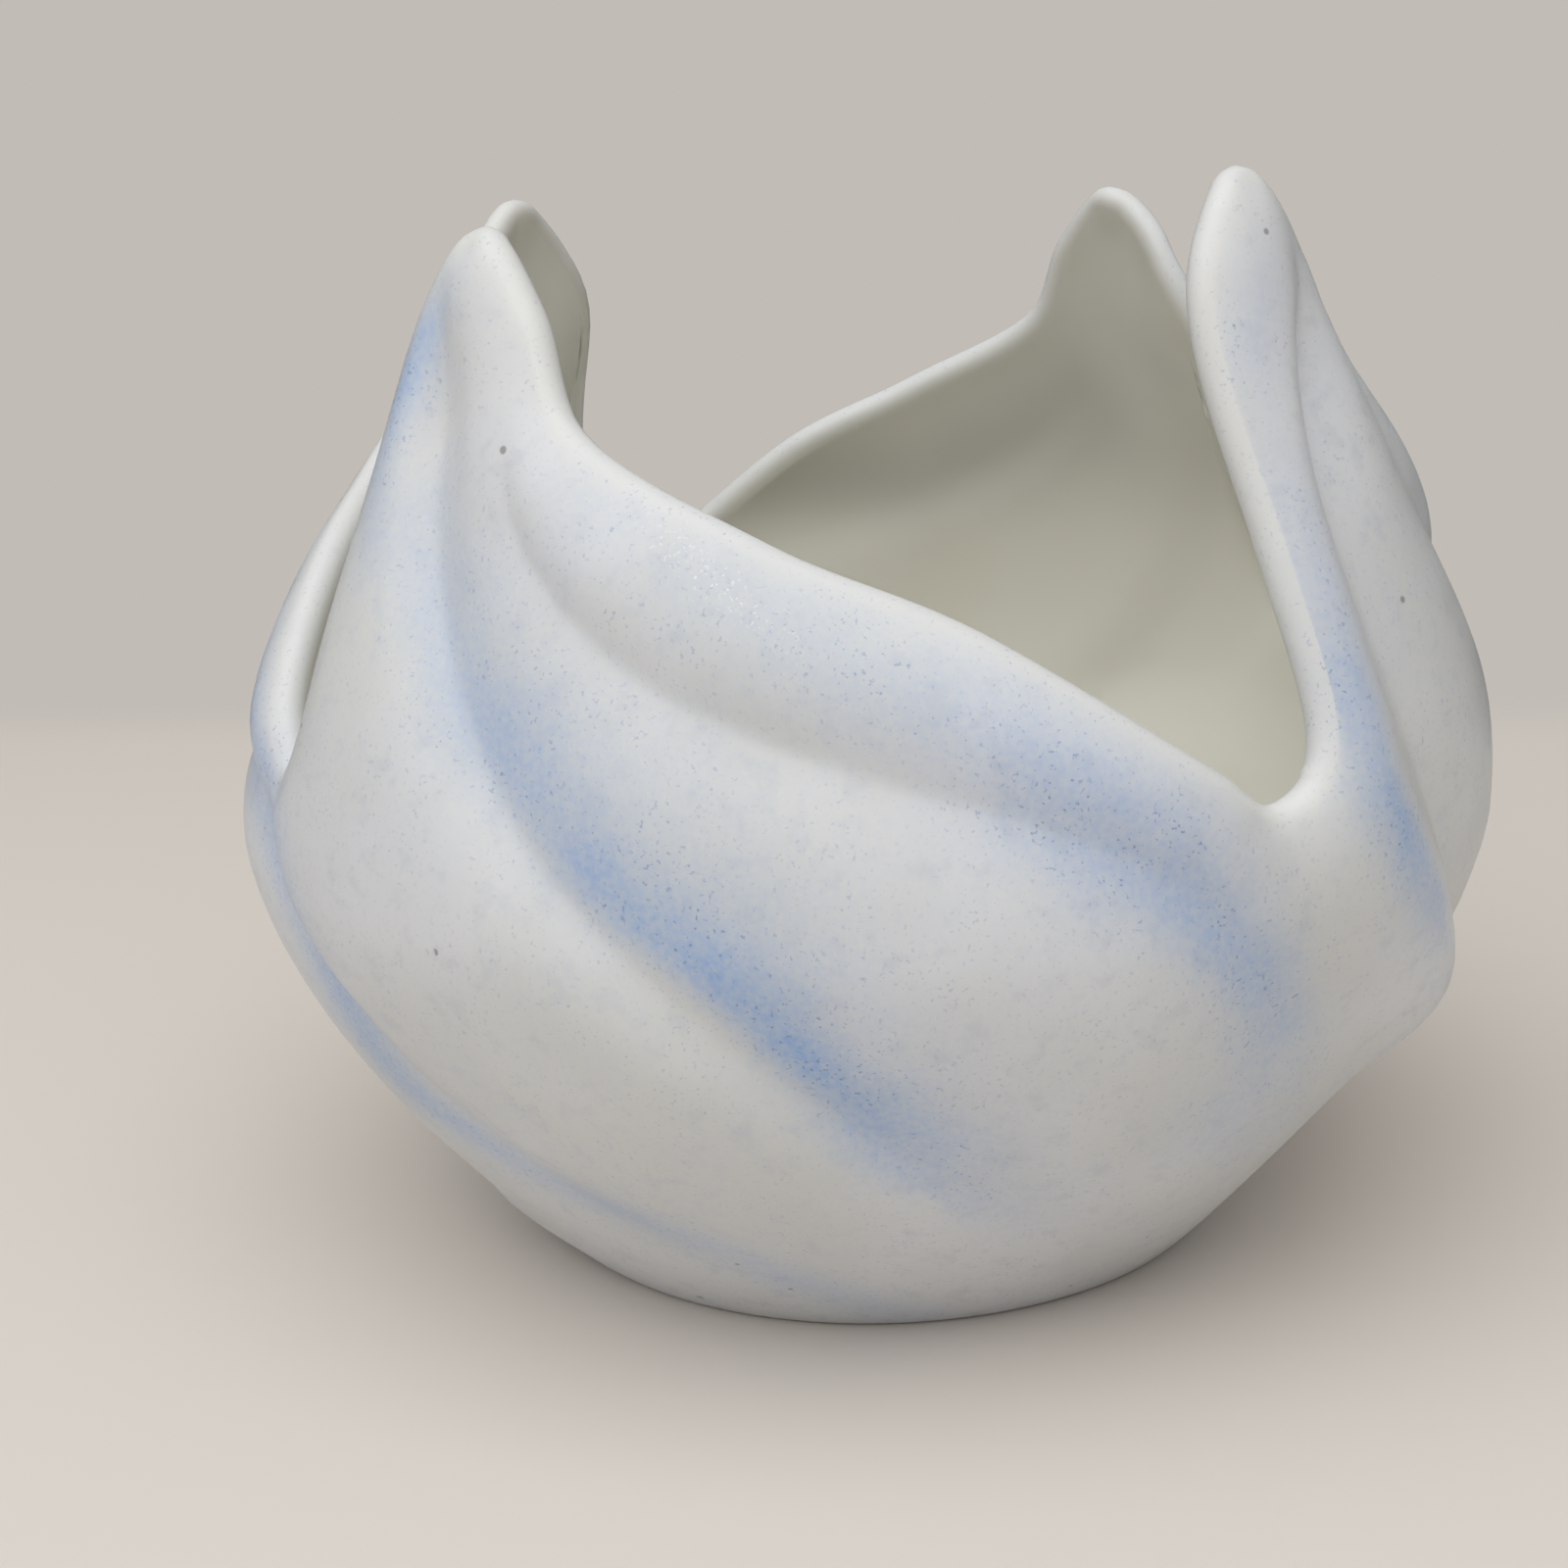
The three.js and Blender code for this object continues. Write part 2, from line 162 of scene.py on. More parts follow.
# Blue sprayed on the leaves: each leaf's share, half widths ahead towards the leading edge and behind, then
# leaf angle without the sweep, height and strength along each stroke
STROKES = {
    "panel": {
        "leaves": (1, 0, 0.8, 0.9),
        "ahead": 3.8,
        "behind": 6.8,
        "path": [
            (21, 92, 0.12), (25.5, 82, 0.3), (29.5, 75, 0.37), (35.5, 68, 0.48), (40, 62, 0.58),
            (44, 57, 0.72), (47.5, 52, 0.86), (49.5, 47.5, 0.86), (50, 41, 0.72), (49, 35, 0.58),
            (45, 27, 0.35),
        ],
    },
    "panel_haze": {
        "leaves": (1, 0.3, 0.8, 0.9),
        "ahead": 6,
        "behind": 8,
        "path": [(32, 84, 0.06), (46, 68, 0.12), (54, 57, 0.12), (57, 46, 0.12), (54, 34, 0.1)],
    },
    "flank": {
        "leaves": (0, 1, 0, 0),
        "ahead": 5,
        "behind": 2.5,
        "path": [
            (15, 92, 0.1), (15, 86, 0.15), (15.3, 80, 0.25), (15.6, 73.5, 0.38), (16.2, 68, 0.5),
            (16.7, 61.5, 0.6), (18.6, 55.5, 0.6), (20.3, 48.5, 0.4),
        ],
    },
    "leading_edge": {
        "leaves": (1, 0.25, 0.6, 0.7),
        "ahead": 3,
        "behind": 3,
        "path": [(18, 113, 0.2), (15.5, 109, 0.5), (14, 103, 0.55), (14, 96, 0.3), (17, 88, 0.12)],
    },
    "rim_band": {
        "leaves": (1, 0.5, 0.8, 0.8),
        "ahead": 6,
        "behind": 6,
        "path": [
            (40, 95, 0.1), (48, 89.5, 0.16), (54, 84.5, 0.16), (61, 81, 0.2), (64, 78, 0.25), (70, 75.5, 0.3),
            (74, 72, 0.32), (77.5, 68, 0.34), (82, 64.5, 0.3), (87, 61.5, 0.22),
        ],
    },
    "notch": {
        "leaves": (1, 0.8, 0.9, 0.9),
        "ahead": 6,
        "behind": 6,
        "path": [
            (77.5, 66, 0.25), (81.5, 61, 0.48), (85, 57.5, 0.5), (87.5, 53, 0.5), (89.5, 47, 0.48),
            (89, 40, 0.36), (84, 33, 0.24), (75, 26, 0.16),
        ],
    },
    "valley": {
        "leaves": (1, 0, 0.7, 0.8),
        "ahead": 5.5,
        "behind": 5.5,
        "path": [
            (0, 63, 0.35), (5, 58, 0.45), (5, 51, 0.42), (-3, 42, 0.35), (-6, 34, 0.32), (-7, 28, 0.35),
            (-4, 24, 0.45), (2, 21, 0.35), (8, 16, 0.25), (9, 5, 0.2),
        ],
    },
}

# Strokes that all the leaves have alike: painted shade on the inside, and painted highlight specks along the
# rim
PAINTED_SHADE_STROKE = {
    "ahead": 8,
    "behind": 8,
    "path": [(80, 83, 0.55), (56, 80, 0.5), (44, 85, 0.45), (32, 92, 0.45), (26, 100, 0.1)],
}
# painted highlights: bright specks along the rim of each leaf
PAINTED_GLINT_STROKE = {"ahead": 2, "behind": 2, "path": [(44, 93, 0.2), (48, 89.5, 0.7), (54, 85, 0.7), (60, 80, 0.2)]}
WASH = 0.1  # faint blue over the whole outside
PAINTED_SHADE_HEIGHTS = (70, 88)  # heights between which painted shade darkens the inside towards the rim
PAINTED_SHADE_MOST = 0.4  # how much painted shade darkens it above them
# share of the painted shade on the rim's round
PAINTED_SHADE_RIM = 0.5
INSIDE_START = 0.45  # share of the way over the rim where the inside's colour starts

# Textures of the glaze: size of the features in millimetres, detail, the two noise values between which they
# rise, and what they rise from and to
TEXTURES = {
    "ground": (30, 3, 0.35, 0.65, 0, 1),
    "mottle": (2.5, 5, 0.5, 0.75, 0, 0.5),
    "cloud": (14, 5, 0.3, 0.7, 0.75, 1.15),
    "grain": (0.8, 4, 0.3, 0.7, 0.8, 1.16),
    "specks": (0.45, 2, 0.6, 0.72, 0, 1),
    "patches": (6, 3, 0.4, 0.6, 0.4, 1),
    "warm": (38, 2, 0.55, 0.72, 0, 1),
    # painted highlight specks
    "painted_glints": (0.4, 2, 0.6, 0.7, 0, 1),
    "satin": (9, 4, 0.3, 0.7, 0.34, 0.46),
}
SPECK_DENSITY = (0, 0.6, 0.22, 0.65)  # strengths of blue between which it rises, and what from and to
CREST_STRENGTH = 0.7
CREST_INSIDE = 0.5  # the inside's share of the crest's white
PINHOLE_SPACING = 6
PINHOLE_RADIUS = 0.55
PINHOLE_EDGE = 0.04  # how soft their edges are, in spacings
PINHOLE_SHARE = 0.3  # share of the places that have one
PINHOLE_STRENGTH = 0.6
PEEL_SIZE = 1.6  # fine unevenness of the glaze
PEEL_DETAIL = 3
PEEL_DEPTH = 0.2
PEEL_STRENGTH = 0.08
BARE_ROUGHNESS = 0.9

# Camera, fitted to the photograph's outline: lengths in millimetres, pitch, yaw and roll in radians
IMAGE_WIDTH = 1600
FOCAL_PIXELS = 2515.6
SENSOR = 36
CAMERA_TURN = -25.92  # degrees about +Z, from looking along +Y
CAMERA_DISTANCE = 287.3
CAMERA_HEIGHT = 124.8
CAMERA_PITCH = 0.2499
CAMERA_YAW = -0.0358
CAMERA_ROLL = -0.0463
CLIP_START = 10

# Soft lights: place in millimetres in the camera's own turn, and power
LIGHTS = {
    "high_left": ((-200, -420, 900), 5.3),
    "high_right": ((200, -480, 900), 1.6),
    "front": ((0, -750, 560), 0.7),
    "low_left": ((-700, -420, 550), 0.7),
}
LIGHT_SIZE = 1200
ROOM = 0.57  # brightness of the room overhead, which fades to nothing around
ROOM_FADE = (-0.1, 0.7)  # upward parts of the directions between which it fades

# Table and wall
TABLE_SIZE = 4000
TABLE_EDGE = 255  # how far behind the bowl the table ends
TABLE_BLUR = 26
TABLE_TURN = -8.4  # degrees that its edge turns away from square to the view


def srgb(red, green, blue):
    """A linear colour from eight-bit values as they look on screen."""
    return [((v / 255 + 0.055) / 1.055) ** 2.4 for v in (red, green, blue)] + [1]


WHITE = srgb(226, 227, 228)
CREAM = srgb(221, 221, 217)
BLUE = srgb(145, 179, 228)
DEEP_BLUE = srgb(96, 124, 178)
CREST_WHITE = srgb(232, 233, 231)
MOTTLE = srgb(205, 208, 212)
# colour of the painted highlight specks
PAINTED_GLINT_COLOUR = srgb(246, 247, 247)
INSIDE = srgb(226, 225, 216)
# colour of the painted shade on the inside near the rim
INSIDE_PAINTED_SHADE = srgb(176, 175, 166)
INSIDE_WARM = srgb(225, 220, 206)
PINHOLE = srgb(96, 96, 92)
BARE_CLAY = srgb(214, 206, 192)
TABLE = srgb(225, 219, 212)
WALL_TONE = srgb(193, 188, 182)
ROOM_TONE = srgb(236, 234, 230)


def smooth(x, start, end):
    share = np.clip((x - start) / (end - start), 0, 1)
    return share * share * (3 - 2 * share)


def level(z):
    """0 at the foot, 1 at the notches and 2 at the tips of the pattern leaf."""
    return np.where(z < NOTCH_HEIGHT, z / NOTCH_HEIGHT, 1 + (z - NOTCH_HEIGHT) / (TIP_HEIGHT - NOTCH_HEIGHT))


def sweep(z):
    """Degrees that the swirl turns the leaves at a height, down from the notches."""
    return SWEEP * np.clip(1 - z / NOTCH_HEIGHT, 0, 1) ** SWEEP_POWER


def through(points, x):
    """Smooth curve through rising points, flat beyond both ends."""
    xs, ys = np.array(points, float).T
    low = np.maximum(np.arange(len(xs)) - 1, 0)
    high = np.minimum(np.arange(len(xs)) + 1, len(xs) - 1)
    slopes = (ys[high] - ys[low]) / (xs[high] - xs[low])
    i = np.clip(np.searchsorted(xs, x) - 1, 0, len(xs) - 2)
    run = xs[i + 1] - xs[i]
    t = np.clip((x - xs[i]) / run, 0, 1)
    ease = t * t * (3 - 2 * t)
    leave = t * (1 - t) ** 2 * run * slopes[i]
    arrive = t * t * (1 - t) * run * slopes[i + 1]
    return ys[i] + (ys[i + 1] - ys[i]) * ease + leave - arrive


def body_radius(z):
    below = np.clip(1 - z / BELLY_HEIGHT, 0, 1) ** UNDERSIDE_POWER
    above = np.clip((z - BELLY_HEIGHT) / (TIP_HEIGHT - BELLY_HEIGHT), 0, 1)
    lean = (1 - np.cos(np.pi * above)) / 2
    return BELLY_RADIUS - (BELLY_RADIUS - FOOT_RADIUS) * below - (BELLY_RADIUS - TIP_RADIUS) * lean


def flare(angle, z):
    share = np.clip((level(z) - FLARE_START) / (2 - FLARE_START), 0, 1)
    return FLARE * np.sin(np.pi * share) * np.cos(np.radians((angle - FLARE_ANGLE) * len(LEAVES)))


def wrapped(angle):
    """The same angle from -180 to 180 degrees."""
    return (angle + 180) % 360 - 180


def swells(angle, z):
    across = np.radians(body_radius(z))
    total = np.zeros(np.broadcast(angle, z).shape)
    for swell in SWELLS:
        along = wrapped(angle - swell["angle"]) * across / swell["along"]
        up = (z - swell["z"]) / swell["up"]
        total = total + swell["out"] * np.exp(-(along**2) - up**2)
    return total


def from_line(line, angle, z):
    """Signed distance across the surface from a line of angles and heights, and the height along it.
    The distance is positive to the right of the line's run, seen from outside."""
    across = np.radians(body_radius(z))
    least = np.full(z.shape, np.inf)
    signed = np.zeros(z.shape)
    at = np.zeros(z.shape)
    for (a0, z0), (a1, z1) in zip(line, line[1:]):
        run, rise = wrapped(a1 - a0) * across, z1 - z0
        x, y = wrapped(angle - a0) * across, z - z0
        t = np.clip((x * run + y * rise) / (run * run + rise * rise), 0, 1)
        dx, dy = x - t * run, y - t * rise
        away = np.hypot(dx, dy)
        nearer = away < least
        least = np.where(nearer, away, least)
        signed = np.where(nearer, away * np.sign(rise * dx - run * dy), signed)
        at = np.where(nearer, z0 + t * rise, at)
    return signed, at


def groove_line(groove, index):
    """The course of one leaf's groove over the body, as angles and heights."""
    z = np.linspace(0, TIP_HEIGHT, LINE_STEPS + 1)
    own_turn = through(list(zip(TURN_LEVELS, groove["turns"](LEAVES[index]))), level(z))
    return np.stack([through(groove["line"], level(z)) + sweep(z) + index * LEAF_PITCH + own_turn, z], -1)


def groove_depth(groove, index, angle, z, inside):
    distance, at = from_line(groove_line(groove, index), angle, z)
    start, full, ebb, end = groove["fade"]
    share = smooth(level(at), start, full) * (1 - smooth(level(at), ebb, end))
    reach = np.where(distance < 0, groove["ahead"], groove["behind"])
    reach = reach * (1 - (1 - NARROWING) * smooth(level(at), *NARROWING_LEVELS))
    reach = reach * (INSIDE_REACH if inside else 1)
    depth = groove["depth"] * (INSIDE_DEPTH if inside else 1)
    power = INSIDE_POWER if inside else GROOVE_POWER
    return depth * share * np.exp(-(np.abs(distance / reach) ** power))


def rim_lean(columns, angle, z):
    """How much the wall leans in: 1 along the rim, nothing ROLL_REACH away from it. The runs of rim from tip
    to tip join by their squares, which keeps the tips smooth."""
    signed = np.stack([from_line(line, angle, z)[0] for line in columns.rim_lines])
    away = np.abs(signed)
    away = np.where(away == away.min(axis=0), signed, away)
    return np.linalg.norm((1 - np.minimum(away / ROLL_REACH, 1)) ** ROLL_POWER, axis=0)


def outer_radius(columns, angle, z, inside=False):
    radius = body_radius(z) + flare(angle, z) + swells(angle, z)
    radius = radius + columns.tip_out * np.clip(level(z) - 1, 0, 1) ** 2
    for index in range(len(LEAVES)):
        for groove in GROOVES.values():
            radius = radius - groove_depth(groove, index, angle, z, inside)
    return radius - ROLL * (INSIDE_ROLL if inside else 1) * rim_lean(columns, angle, z)


def on_circle(radius, angle, z):
    turn = np.radians(FIRST_LEAF + angle)
    return np.stack([radius * np.cos(turn), radius * np.sin(turn), z + 0 * turn], -1)


def outer_point(columns, angle, z, inside=False):
    return on_circle(outer_radius(columns, angle, z, inside), angle, z)


def unit(vectors):
    return vectors / np.linalg.norm(vectors, axis=-1, keepdims=True)


def wall_normal(columns, angle, z, inside=False):
    def moved(turn, rise):
        return outer_point(columns, angle + turn, z + rise, inside)

    up = moved(0, SLOPE_STEP) - moved(0, -SLOPE_STEP)
    along = moved(SLOPE_STEP, 0) - moved(-SLOPE_STEP, 0)
    return unit(np.cross(along, up))


def inner_point(columns, angle, z):
    """One cast thickness in from the softer inside form of the wall."""
    return outer_point(columns, angle, z, True) - WALL * wall_normal(columns, angle, z, True)


def rim_points():
    """Points of the rim's middle line on the round body, leaf by leaf."""
    points = []
    for index, leaf in enumerate(LEAVES):
        following = LEAVES[(index + 1) % len(LEAVES)]
        for angle, rise in RIM:
            fall = min(max((angle - TIP_ANGLE) / (LEAF_PITCH - TIP_ANGLE), 0), 1)
            low = NOTCH_HEIGHT - CREST + leaf["notch_rise"] * (1 - fall) + following["notch_rise"] * fall
            high = TIP_HEIGHT - CREST + leaf["tip_rise"]
            z = low + (high - low) * rise + leaf["rim_lift"] * math.sin(math.pi * fall)
            notch_turn = leaf["notch_turn"] * (1 - fall) + following["notch_turn"] * fall
            turn = notch_turn * (1 - rise) + leaf["tip_turn"] * rise
            points.append(on_circle(body_radius(z), np.array(index * LEAF_PITCH + angle + turn), z))
    return np.array(points)


def root_gap(first, second):
    """Square root of the distance between points, which a centripetal curve goes by."""
    return np.sqrt(np.linalg.norm(first - second, axis=1, keepdims=True))


def closed_curve(points, steps):
    """Closed centripetal curve through points, with so many steps between neighbours."""
    before, after, far = np.roll(points, 1, 0), np.roll(points, -1, 0), np.roll(points, -2, 0)
    d0, d1, d2 = root_gap(before, points), root_gap(points, after), root_gap(after, far)
    leave = d1 * ((points - before) / d0 - (after - before) / (d0 + d1) + (after - points) / d1)
    arrive = d1 * ((after - points) / d1 - (far - points) / (d1 + d2) + (far - after) / d2)
    t = (np.arange(steps) / steps)[None, :, None]
    start, end, leave, arrive = (a[:, None] for a in (points, after, leave, arrive))
    cubic = 2 * start - 2 * end + leave + arrive
    square = 3 * end - 3 * start - 2 * leave - arrive
    return (start + t * (leave + t * (square + t * cubic))).reshape(-1, 3)


class Columns:
    """The surface's columns: angle at the foot, angle and height at the rim, and how far out the tips are."""

    def __init__(self):
        rim = closed_curve(rim_points(), STEPS_PER_RIM_POINT)
        count = len(rim)
        even = np.arange(count) * 360 / count
        lead = wrapped(np.degrees(np.arctan2(rim[:, 1], rim[:, 0])) - FIRST_LEAF - even)
        self.rim = even + lead
        self.foot = even + lead * FOOT_FOLLOW
        self.height = rim[:, 2]
        owner = np.arange(count) * len(LEAVES) // count
        self.tip_out = np.array([leaf["tip_out"] for leaf in LEAVES])[owner]
        line = np.stack([self.rim, self.height], -1)
        tips = (np.arange(len(LEAVES)) * len(RIM) + TIP_POINT) * STEPS_PER_RIM_POINT
        runs = zip(tips, np.append(tips[1:], tips[0] + count))
        self.rim_lines = [line[np.arange(a, b + 1) % count][::RIM_LINE_STEP] for a, b in runs]

    def place(self, share):
        """Angle and height at a share of each column's height, a row for each share."""
        share = np.atleast_2d(share)
        z = self.height * share
        return self.foot + (self.rim - self.foot) * share**FAN_POWER + sweep(z), z


def rows(count):
    """Shares from 0 to 1 as a column."""
    return (np.arange(count + 1) / count)[:, None]


def outer_rows(columns):
    lowest = FOOT_EDGE / columns.height
    angle, z = columns.place(lowest + (1 - lowest) * rows(OUTER_ROWS))
    return outer_point(columns, angle, z), angle, z


def foot_rows(columns):
    """From the recess over the flat ring and the rounded edge up to the wall's first row."""
    angle, _ = columns.place(0)
    inner = FOOT_RADIUS - FOOT_RING
    hollow = inner - FOOT_RECESS
    flat_end = FOOT_RADIUS - FOOT_EDGE
    profile = [(hollow * share, FOOT_RECESS) for share in RECESS_RINGS]
    profile += [(inner + FOOT_RING * i / RING_ROWS, 0) for i in range(RING_ROWS)]
    profile += [(flat_end, 0)]
    flat = np.concatenate([on_circle(radius, angle, z) for radius, z in profile])
    wall_angle, wall_z = columns.place(FOOT_EDGE / columns.height)
    wall = outer_point(columns, wall_angle, wall_z)
    corner = on_circle(FOOT_RADIUS, angle, 0)
    t = rows(EDGE_ROWS)[1:-1, :, None]
    edge = (1 - t) ** 2 * flat[-1:] + 2 * t * (1 - t) * corner + t * t * wall
    return np.concatenate([flat, edge]), len(profile)


def rim_rows(columns, outer, inner):
    """Rounds from the outer edge over to the inner one, smooth with both faces."""
    run = np.roll(outer, -1, 0) - np.roll(outer, 1, 0)
    angle, z = columns.place(1)
    reach = CREST_FULLNESS * np.linalg.norm(outer - inner, axis=1)[:, None]
    from_outer, from_inner = (
        edge + reach * unit(np.cross(wall_normal(columns, angle, z, inside)[0], run))
        for edge, inside in ((outer, False), (inner, True))
    )
    t = rows(RIM_ROWS)[1:-1, :, None]
    ends = (1 - t) ** 3 * outer + t**3 * inner
    return ends + 3 * t * (1 - t) * ((1 - t) * from_outer + t * from_inner)


def inner_rows(columns):
    lowest = (FLOOR + FLOOR_ROUND - WALL) / columns.height
    angle, z = columns.place(1 + (lowest - 1) * rows(INNER_ROWS))
    return inner_point(columns, angle, z), angle, z


def floor_rows(wall):
    """The round between wall and floor, then rings in to the middle."""
    down = wall[-1] - wall[-2]
    corner = wall[-1] + down * ((FLOOR - wall[-1, :, 2]) / down[:, 2])[:, None]
    run = np.linalg.norm(corner - wall[-1], axis=1) / np.hypot(corner[:, 0], corner[:, 1])
    landing = corner * np.stack([1 - run, 1 - run, np.ones_like(run)], -1)
    t = rows(FLOOR_ROWS)[1:, :, None]
    bend = (1 - t) ** 2 * wall[-1] + 2 * t * (1 - t) * corner + t * t * landing
    share = 1 - np.arange(1, FLOOR_RINGS) / FLOOR_RINGS
    flat = landing * np.stack([share, share, np.ones_like(share)], -1)[:, None]
    return np.concatenate([bend, flat])


def stroke_strength(stroke, turn, angle, z):
    """Soft strength of one sprayed stroke over places on the body."""
    strength = np.zeros_like(z)
    plain = angle - sweep(z) - turn
    across = np.radians(body_radius(z))
    for (a0, z0, s0), (a1, z1, s1) in zip(stroke["path"], stroke["path"][1:]):
        run, rise = (a1 - a0) * across, z1 - z0
        x, y = wrapped(plain - a0) * across, z - z0
        t = np.clip((x * run + y * rise) / (run * run + rise * rise), 0, 1)
        dx, dy = x - t * run, y - t * rise
        width = np.where(rise * dx > run * dy, stroke["ahead"], stroke["behind"])
        soft = (s0 + (s1 - s0) * t) * np.exp(-(np.hypot(dx, dy) / width) ** 2)
        strength = np.maximum(strength, soft)
    return strength


def sprayed(angle, z):
    bare = np.ones_like(z)
    for index in range(len(LEAVES)):
        for stroke in STROKES.values():
            strength = stroke_strength(stroke, index * LEAF_PITCH, angle, z)
            bare = bare * (1 - stroke["leaves"][index] * strength)
    return 1 - (1 - WASH) * bare


def on_each_leaf(stroke, angle, z):
    """The same stroke on all the leaves."""
    strengths = [stroke_strength(stroke, index * LEAF_PITCH, angle, z) for index in range(len(LEAVES))]
    return np.maximum.reduce(strengths)


def near_rim(columns, z):
    """1 at the rim, fading over about the crest's height."""
    return np.exp((z - columns.height) / CREST)


def glaze_masks(columns, outer_angle, outer_z, inner_angle, inner_z, bare):
    """The glaze's masks, each with its values on parts of the surface and 0 on the rest."""
    over = rows(RIM_ROWS)[1:-1]
    blue = sprayed(outer_angle, outer_z)
    # painted shade inside: darker high up, with a painted shade stroke on each leaf, and halfway on the rim
    shade = PAINTED_SHADE_MOST * smooth(inner_z, *PAINTED_SHADE_HEIGHTS) + on_each_leaf(PAINTED_SHADE_STROKE, inner_angle, inner_z)
    return {
        "blue": {"foot": WASH, "outer": blue, "rim": blue[-1] * (1 - over)},
        "inside": {"rim": smooth(over, INSIDE_START, 1), "inner": 1, "floor": 1, "floor_middle": 1},
        "crest": {
            "outer": near_rim(columns, outer_z),
            "rim": 1 - (1 - CREST_INSIDE) * over,
            "inner": CREST_INSIDE * near_rim(columns, inner_z),
        },
        "bare": {"foot": bare, "foot_middle": 1},
        "painted_shade": {"rim": PAINTED_SHADE_RIM, "inner": shade},
        # painted highlight specks along the rim
        "painted_glints": {"outer": on_each_leaf(PAINTED_GLINT_STROKE, outer_angle, outer_z)},
    }


def on_points(parts, values):
    """A mask's value at each point of the surface, part by part."""
    spread = [np.broadcast_to(values.get(name, 0), part.shape[:2]).ravel() for name, part in parts.items()]
    return np.concatenate(spread).astype(np.float32)


def closed_faces(row_count, count):
    """Quads from row to row, and fans from the first and last rows to the two points after them all."""
    ring = np.arange(row_count - 1)[:, None] * count
    i = np.arange(count)
    j = (i + 1) % count
    quads = np.stack([ring + i, ring + j, ring + count + j, ring + count + i], -1).reshape(-1, 4)
    last = (row_count - 1) * count
    bottom = np.full(count, row_count * count)
    bottom_fan = np.stack([bottom, j, i], -1)
    top_fan = np.stack([bottom + 1, last + i, last + j], -1)
    return quads.tolist() + bottom_fan.tolist() + top_fan.tolist()


def bowl_surface():
    """The whole closed surface with the glaze's masks as attributes."""
    columns = Columns()
    foot, bare_rows = foot_rows(columns)
    outer, outer_angle, outer_z = outer_rows(columns)
    inner, inner_angle, inner_z = inner_rows(columns)
    rings = {
        "foot": foot,
        "outer": outer,
        "rim": rim_rows(columns, outer[-1], inner[0]),
        "inner": inner,
        "floor": floor_rows(inner),
    }
    middles = {
        "foot_middle": np.array([[[0, 0, FOOT_RECESS]]]),
        "floor_middle": np.array([[[0, 0, FLOOR]]]),
    }
    parts = {**rings, **middles}
    points = np.concatenate([part.reshape(-1, 3) for part in parts.values()])
    row_count = sum(len(part) for part in rings.values())
    mesh = bpy.data.meshes.new("bowl_surface")
    mesh.from_pydata((points * MM).tolist(), [], closed_faces(row_count, len(columns.height)))
    bare = np.arange(len(foot))[:, None] < bare_rows
    masks = glaze_masks(columns, outer_angle, outer_z, inner_angle, inner_z, bare)
    for name, values in masks.items():
        attribute = mesh.attributes.new(name, "FLOAT", "POINT")
        attribute.data.foreach_set("value", on_points(parts, values))
    mesh.polygons.foreach_set("use_smooth", [True] * len(mesh.polygons))
    mesh.update()
    return mesh


def add(tree, kind, inputs=None, **settings):
    """A new node with its settings, and its inputs set to values or linked to sockets."""
    made = tree.nodes.new(kind)
    for name, value in settings.items():
        setattr(made, name, value)
    for name, value in (inputs or {}).items():
        if isinstance(value, bpy.types.NodeSocket):
            tree.links.new(value, made.inputs[name])
        else:
            made.inputs[name].default_value = value
    return made


def mixed(tree, factor, first, second):
    """Colour between two others, by the sockets that the node has for colours."""
    made = add(tree, "ShaderNodeMix", {0: factor, 6: first, 7: second}, data_type="RGBA")
    return made.outputs[2]


def maths(tree, operation, first, second):
    return add(tree, "ShaderNodeMath", {0: first, 1: second}, operation=operation).outputs[0]


def product(tree, first, *others):
    """Factors multiplied one after another, with no result over 1."""
    for other in others:
        made = add(tree, "ShaderNodeMath", {0: first, 1: other}, operation="MULTIPLY", use_clamp=True)
        first = made.outputs[0]
    return first


def ranged(tree, value, low, high, start=0.0, end=1.0):
    """Smooth step of a value from start to end."""
    inputs = {"Value": value, "From Min": low, "From Max": high, "To Min": start, "To Max": end}
    return add(tree, "ShaderNodeMapRange", inputs, interpolation_type="SMOOTHSTEP").outputs[0]


def noise(tree, place, size, detail):
    """Noise with features of about one size, in millimetres."""
    inputs = {"Vector": place, "Scale": 1 / (size * MM), "Detail": detail}
    return add(tree, "ShaderNodeTexNoise", inputs).outputs["Fac"]


def texture(tree, place, name):
    """One of the glaze's textures, as a factor."""
    size, detail, *steps = TEXTURES[name]
    return ranged(tree, noise(tree, place, size, detail), *steps)


def mask(tree, name):
    return add(tree, "ShaderNodeAttribute", attribute_name=name).outputs["Fac"]


def round_pinholes(tree, place):
    """A round dot in each cell, kept where the cell's random value is under the share that have one."""
    cells = add(tree, "ShaderNodeTexVoronoi", {"Vector": place, "Scale": 1 / (PINHOLE_SPACING * MM)})
    random = add(tree, "ShaderNodeSeparateColor", {"Color": cells.outputs["Color"]}).outputs
    reach = product(tree, random["Green"], PINHOLE_RADIUS / PINHOLE_SPACING)
    past_edge = maths(tree, "SUBTRACT", cells.outputs["Distance"], reach)
    kept = maths(tree, "LESS_THAN", random["Red"], PINHOLE_SHARE)
    return product(tree, ranged(tree, past_edge, 0, -PINHOLE_EDGE), kept)


